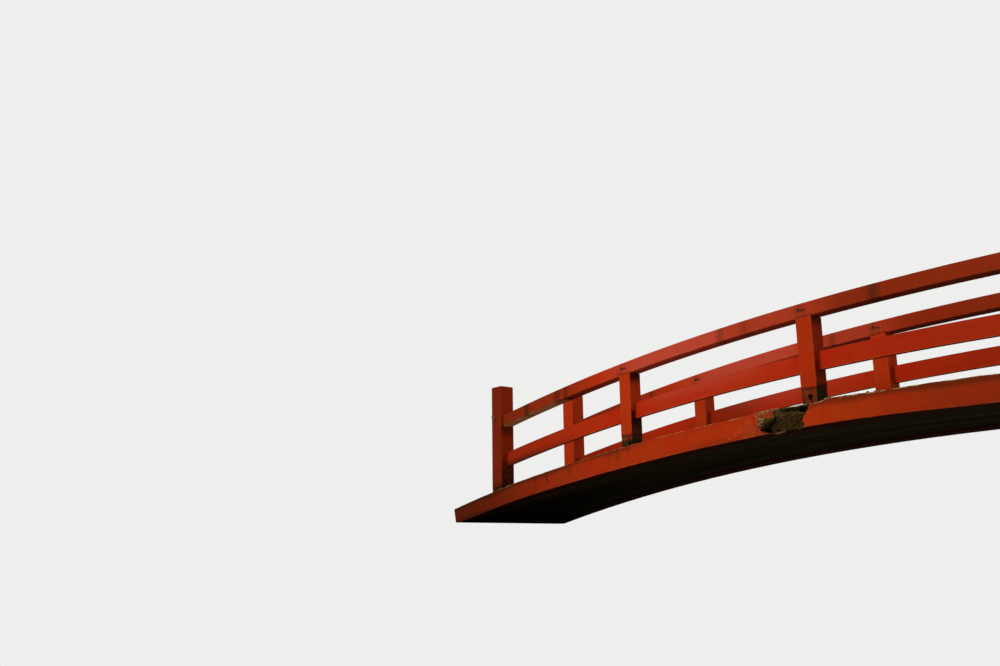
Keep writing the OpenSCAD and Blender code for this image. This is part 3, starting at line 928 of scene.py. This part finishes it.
    # Marks for the finish
    chip_zone = (ease(left - s, 0.24, 0.0) * (s < -0.8)
                 + np.exp(-np.maximum(s - right, 0) / 0.006) * (s > -0.8))
    torn = (np.interp(s, (-1.0, -0.93, -0.88), (0.020, 0.014, 0.010))
            + 0.006 * relief(s, 1.0, 0.010, 43))
    frayed = (window(s, -1.02, -0.98, -0.88, -0.85) * ease(w, torn + 0.004, torn - 0.002)
              + bell(s, -0.904, 0.014) * bell(w - 0.3 * (s + 0.904), 0.032, 0.005))
    painted = (1 - open_wood) * outer
    scratches = sum(scratch(s, w, *ends) for ends in SCRATCHES)
    specks = sum(bell(s, a, radius) * bell(w, b, radius) for a, b, radius in DARK_SPECKS)
    tufts = sum(ease(np.hypot(s - a, w - b) + 1.5 * ragged, 0.012, 0.004) for a, b in MOSS_TUFTS)
    streaks = (bell(s, -0.836, 0.0028) * window(w, 0.030, 0.036, 0.058, 0.066)
               + bell(w - 0.2 * (s + 0.722), 0.036, 0.0022)
               * window(s, -0.730, -0.722, -0.684, -0.676))
    points = on_arch(s, -new_w, new_q - BRIDGE_HALF)
    points[..., 2] = np.maximum(points[..., 2], 0.0)
    beam = Shells()
    beam.add(
        points,
        drop=(new_w - w) * low_half,
        bare=np.clip(np.maximum(open_wood, both) * outer, 0, 1),
        scraped=np.clip(0.75 * scratches * painted * (1 - both), 0, 1),
        # Painted shade in the notch, hole, pit, crack and cleft, and real dark specks
        hollow=np.clip(notch + hole + pit + 0.7 * specks + 0.8 * crack
                       + 0.55 * cleft * open_wood, 0, 1) * outer,
        damp=np.clip(smooth_zone * open_wood * (1 - both), 0, 1),
        # Lichen and a painted highlight on the lump's upper left
        growth=crest * (0.95 + 0.75 * relief(s, w, 0.009, 52, 2)),
        mossy=np.clip(both - np.minimum(crest, both) + 0.75 * tufts, 0, 1) * outer,
        chipped=chip_zone * painted * (1 - both),
        frayed=np.clip(frayed, 0, 1) * painted,
        # Pale broken wood along the sagging lip with a painted highlight on it, and pale streaks in
        # the rot
        pale=np.clip(lip * ease(w, 0.118, 0.123) * ease(q, 0.05, 0.02) + streaks * outer, 0, 1))
    made = beam.piece("near_beam_weathered", beam_paint, sharp=40)
    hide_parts("near_beam")


# Near posts from the left: height over the beam up to which the paint has gone, and how much
# painted shade darkens the outer face, the faces along the bridge and the foot, where damp wood
# adds to it; then the same for every far post
NEAR_POSTS = ((0.068, 0.82, 0.44, 0.90), (0.112, 0.04, 0.04, 0.92), (0.124, 0.20, 0.44, 0.42),
              (0.107, 0.15, 0.20, 0.50), (0.095, 0.08, 0.15, 0.30), (0.070, 0.60, 0.40, 0.70))
FAR_POST = (0.085, 0.10, 0.10, 0.30)


def worn_post(side, k):
    """Post: rings of its bevelled square from the joist up to the rail, or to the flat top of an
    end post. Below a ragged line the paint has gone, so the face lies deeper there, with fibres
    and cracks that run upwards: the depth is a sum of a step, ripples and narrow bumps."""
    near, is_end = side < 0, k in (0, BAYS)
    name = f"{'near' if near else 'far'}_post_{k}"
    bare_to, front_shade, side_shade, dark_foot = NEAR_POSTS[k] if near else FAR_POST
    half, x_post = (END_POST_W if is_end else POST_W) / 2, POST_X[k]
    seed = 40 + 10 * k + (0 if near else 5)
    corners = list(zip(*bevelled_outline(half, -half, half, POST_ARRIS)))
    x, y = dense_outline(corners, [0.003] * len(corners))

    foot = arch_z(x_post + x, -DECK_LOW)
    top = np.full_like(x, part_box(name)[1].z) if is_end else arch_z(x_post + x, RAIL_LOW)
    tall = (top - foot).mean()
    share = np.concatenate((np.linspace(0, 0.22 / tall, 74),
                            np.linspace(0.22 / tall, 1 - 0.004 / tall, 14)[1:], [1.0]))[:, None]
    z = foot + share * (top - foot)
    h = z - 0.35 * arch_z(x_post + x, 0) - 0.65 * arch_z(x_post, 0)
    around = np.cumsum(np.hypot(np.roll(x, -1) - x, np.roll(y, -1) - y))[None]

    ragged = (bare_to + 0.010 * relief(around, 3.0, 0.024, seed)
              + 0.004 * relief(around, 8.0, 0.006, seed + 1))
    bare = ease(h, ragged + 0.0015, ragged - 0.0015)
    teeth = bare * ease(h, ragged - 0.024, ragged - 0.004)
    sides = np.abs(x) > half - POST_ARRIS / 2
    soiled_to = 0.235 if near and k < 2 else 0.145
    soiled = ease(h, soiled_to + 0.02, soiled_to - 0.03) * sides
    # Painted shade on each post's faces; on the near posts the faces along the bridge take painted
    # shadow under the top and middle rails, and the foot is darker by damp wood and painted shade
    # where it meets the beam
    film = np.where(sides, side_shade, front_shade)
    if near:
        under_top, under_mid = (1.25, 1.20) if k == 1 else (0.95, 0.85)
        film = np.maximum(film, sides * np.maximum(
            under_top * ease(h, 0.45, 0.50) * (h < RAIL_TOP - RAIL_H / 2),
            under_mid * ease(h, 0.12, 0.18) * (h < MID_RAIL_TOP - MID_RAIL_H / 2)))
    film = np.maximum(film, dark_foot * ease(h, 0.085, 0.055))
    corner = np.minimum(np.abs(x), np.abs(y)) > half - POST_ARRIS - 1e-6

    # Worn hollows in the outer faces of two posts, the end post darker towards its foot, and soil
    # at the foot of its neighbour
    hollow = 0.0
    if near and k == 0:
        film = np.maximum(film, ease(h, 0.20, 0.08))
    elif near and k == 1:
        soiled = np.maximum(soiled, 0.40 * ease(h, 0.082, 0.064))
        hollow = (ease(np.abs(x - 0.030) - 0.35 * (0.060 - h), 0.006, -0.002)
                  * ease(h, 0.064, 0.05))
    elif near and k == 2:
        ring = (((x - 0.004) / 0.016) ** 2 + ((h - 0.062) / 0.014) ** 2
                + 0.5 * relief(x, h, 0.009, 63))
        hollow = ease(ring, 1.3, 0.7)
    hollow = hollow * (y < -half + POST_ARRIS)

    fibres = relief(around, h * 0.10, 0.0045, seed + 2, 3)
    split = ease(np.abs(relief(around, h * 0.22, 0.028, seed + 3, 2)), 0.06, 0.0)
    depth = (bare * (0.0018 + 0.0008 * fibres + 0.004 * split * ease(h, 0.10, 0.02))
             + 0.016 * hollow + 0.003 * (share == 1.0) * is_end)
    shrink = 1 - depth / half
    post = Shells()
    post.add(points_at(x_post + x * shrink, side * POST_LINE + y * shrink, z), bare=bare,
             hollow=hollow, teeth=teeth, soiled=soiled, corner=corner, film=film)
    made = post.piece(name + "_worn", post_paint)
    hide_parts(name)


def rail_pegs():
    """Eight-sided pegs through the joints of the top rails, a little short of the rail's faces"""
    turn = (np.arange(8) + 0.5) * math.pi / 4
    radius = (PEG_HOLE / 2 - 0.001) / math.cos(math.pi / 8)
    across = (RAIL_HALF_W - 0.006) * np.array((-1.0, -0.95, 0.95, 1.0))[:, None]
    around = radius * np.array((0.8, 1.0, 1.0, 0.8))[:, None]
    pegs = Shells()
    for side in (-1, 1):
        for k in range(1, BAYS):
            x = POST_X[k] - JOINT_SHIFT
            z = arch_z(x, RAIL_TOP - LAP_LINE)
            pegs.add(points_at(x + around * np.cos(turn), side * POST_LINE + across,
                               z + around * np.sin(turn)))
    pegs.piece("rail_pegs", end_grain)


def screw_eye():
    """Eye screwed into the near left end post: a round wire bent along a circle, then straight
    into the post"""
    wire, bow, height, inset, neck, screw = 0.0030, 0.0105, 0.612, 0.028, 0.006, 0.012
    turn = np.linspace(math.radians(100), math.radians(435), 30)
    rise = np.concatenate((bow * np.cos(turn + math.pi / 2), np.zeros(4)))
    out = np.concatenate((bow * np.sin(turn + math.pi / 2) - bow - neck,
                          np.linspace(-neck, screw, 4)))
    path = np.stack((rise, out), -1)
    ahead = np.gradient(path, axis=0)
    ahead /= np.linalg.norm(ahead, axis=1)[:, None]
    angle = np.arange(10) * math.pi / 5
    beside = np.stack((-ahead[:, 1], ahead[:, 0]), -1)[:, None]
    ring = path[:, None] + beside * (wire * np.cos(angle))[None, :, None]
    face_y = -POST_LINE - END_POST_W / 2
    eye = Shells()
    eye.add(points_at(POST_X[0] - inset + wire * np.sin(angle), face_y + ring[..., 1],
                      arch_z(POST_X[0], height) + ring[..., 0]))
    eye.piece("screw_eye", dull_zinc, sharp=60)


def splinters():
    """Slivers of wood round the rotten stretch: a diamond section that tapers to a point along a
    bent line. Most follow the grain; some hang down or stand up."""
    rng = np.random.default_rng(51)
    on_right, on_left, on_low_edge = 12, 6, 16
    steps = np.linspace(0, 1, 6)[:, None]
    taper = 1 - steps ** 2
    angle = np.arange(4) * math.pi / 2
    slivers = Shells()
    for index in range(on_right + on_left + on_low_edge):
        w = rng.uniform(0.004, 0.122)
        behind_face = 0.006
        if index < on_right:
            s0, heading = rot_end(w, ROT_RIGHT) + 0.003, math.pi
        elif index < on_right + on_left:
            s0, heading = rot_end(w, ROT_LEFT) - 0.003, 0.0
        else:
            s0, w = rng.uniform(-0.78, -0.715), rng.uniform(0.098, 0.122)
            heading, behind_face = rng.choice((0.85, 1.2, -0.7)), 0.028
        heading = heading + rng.normal(0, 0.3)
        length, half_width = rng.uniform(0.006, 0.018), rng.uniform(0.0005, 0.0011)
        bend = rng.normal(0, 0.3)
        along = length * (steps - 0.15)
        girth = half_width * np.cos(angle) * taper
        drop = w + along * math.sin(heading) + bend * length * steps ** 2
        out = rng.uniform(0.0, 0.004) + 0.004 * steps * rng.uniform(-1, 1)
        depth = behind_face - out + 0.6 * half_width * np.sin(angle) * taper
        slivers.add(on_arch(s0 + along * math.cos(heading) + girth, -drop + girth,
                            depth - BRIDGE_HALF), tone=rng.uniform(0.1, 1.0))
    slivers.piece("splinters", broken_wood, weld=True)


# Moss cushions: s, length, width, height, distance in from the outer face
CUSHIONS = ((-0.540, 0.060, 0.034, 0.021, 0.018), (-0.505, 0.034, 0.024, 0.015, 0.014),
            (-0.372, 0.030, 0.016, 0.014, 0.010), (-0.302, 0.026, 0.016, 0.014, 0.010),
            (-0.256, 0.034, 0.020, 0.012, 0.012), (-0.430, 0.020, 0.014, 0.014, 0.009),
            (-2.115, 0.036, 0.022, 0.007, 0.100), (-3.556, 0.050, 0.030, 0.010, 0.060),
            (1.310, 0.045, 0.030, 0.009, 0.080))


def moss_cushions():
    """Moss on the near beam's upper edge: half-round cushions with a lumpy top, on a flat base"""
    climb = np.linspace(0, math.pi / 2, 13)[:, None]
    turn = np.linspace(0, 2 * math.pi, 40, endpoint=False)
    sunk = 0.002
    cushions = Shells()
    for index, (s0, length, across, height, inset) in enumerate(CUSHIONS):
        outline = 1 + 0.16 * relief(turn * 0.03, index + 4.0, 0.03, 61)
        s = s0 + length / 2 * np.cos(climb) * outline * np.cos(turn)
        y = inset + across / 2 * np.cos(climb) * outline * np.sin(turn) - BRIDGE_HALF
        lumps = 1 + 0.20 * relief(s, y, 0.012, 62, 3)
        cushions.add(on_arch(s, height * np.sin(climb) * lumps - sunk, y))
    cushions.piece("moss_cushions", moss_cushion, sharp=80)


deck_planks()
soffit_boards()
decayed_beam()
for post_side in (-1, 1):
    for post_index in range(BAYS + 1):
        worn_post(post_side, post_index)
rail_pegs()
screw_eye()
splinters()
moss_cushions()

FINISH_OF = {"beam": beam_paint, "sill": beam_paint, "post": post_paint,
             "top_rail": top_rail_paint, "mid_rail": mid_rail_paint, "joists": deck_wood,
             "deck": deck_wood, "soffit": soffit_wood}
for node_name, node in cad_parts.items():
    node.data.materials.clear()
    node.data.materials.append(next(made for word, made in FINISH_OF.items() if word in node_name))


def stage_floor():
    """Pale floor at the level of the seats; a camera below it looks through its underside"""
    reach, level = 40.0, -0.002
    mesh = bpy.data.meshes.new("floor")
    mesh.from_pydata([(-reach, -reach, level), (reach, -reach, level), (reach, reach, level),
                      (-reach, reach, level)], [], [(0, 1, 2, 3)])
    floor = new_object("floor", mesh)
    made = bpy.data.materials.new("floor")
    g = empty_graph(made)
    path = g.node("LightPath")
    unseen = g.mix(path["Is Glossy Ray"], (0.30, 0.29, 0.28, 1), (0.04, 0.04, 0.04, 1))
    colour = g.mix(path["Is Camera Ray"], unseen, (0.80, 0.79, 0.77, 1))
    surface = g.node("BsdfDiffuse", {"Color": colour})[0]
    under = path["Is Camera Ray"] * g.node("NewGeometry")["Backfacing"]
    both = g.node("MixShader", {0: under, 1: surface, 2: g.node("BsdfTransparent")[0]})[0]
    g.node("OutputMaterial", {"Surface": both})
    mesh.materials.append(made)


def stage_light():
    """Soft light from the sky all round, and a broad lamp in front on the left"""
    world = bpy.data.worlds.new("studio")
    bpy.context.scene.world = world
    g = empty_graph(world)
    path = g.node("LightPath")
    sky = g.node("Background", {"Color": (0.96, 0.98, 1.0, 1),
                                "Strength": 0.85 - path["Is Glossy Ray"] * 0.73})[0]
    plain = g.node("Background", {"Color": (0.86, 0.86, 0.85, 1), "Strength": 1.0})[0]
    both = g.node("MixShader", {0: path["Is Camera Ray"], 1: sky, 2: plain})[0]
    g.node("OutputWorld", {"Surface": both})
    lamp = bpy.data.lights.new("key", "SUN")
    lamp.energy = 1.7
    lamp.angle = math.radians(25)
    lamp.specular_factor = 0.4
    lamp.color = (1.0, 0.97, 0.92)
    direction = Vector((0.30, 0.75, -0.60))
    new_object("key", lamp).rotation_euler = direction.to_track_quat("-Z", "Y").to_euler()


def photo_camera():
    """Camera at the photograph's place: it stands lower than the bridge's seats and looks up"""
    place, yaw, pitch, roll = (2.361, -4.955, -0.229), 0.9208, 0.2289, -0.0097
    lens = bpy.data.cameras.new("camera")
    lens.sensor_width = 36.0
    lens.lens = 33.69
    lens.clip_end = 200
    camera = new_object("camera", lens)
    camera.matrix_world = (Matrix.Translation(place) @ Matrix.Rotation(yaw, 4, "Z")
                           @ Matrix.Rotation(math.pi / 2 + pitch, 4, "X")
                           @ Matrix.Rotation(roll, 4, "Z"))
    bpy.context.scene.camera = camera


stage_floor()
stage_light()
photo_camera()
bpy.context.scene.view_settings.view_transform = "Standard"
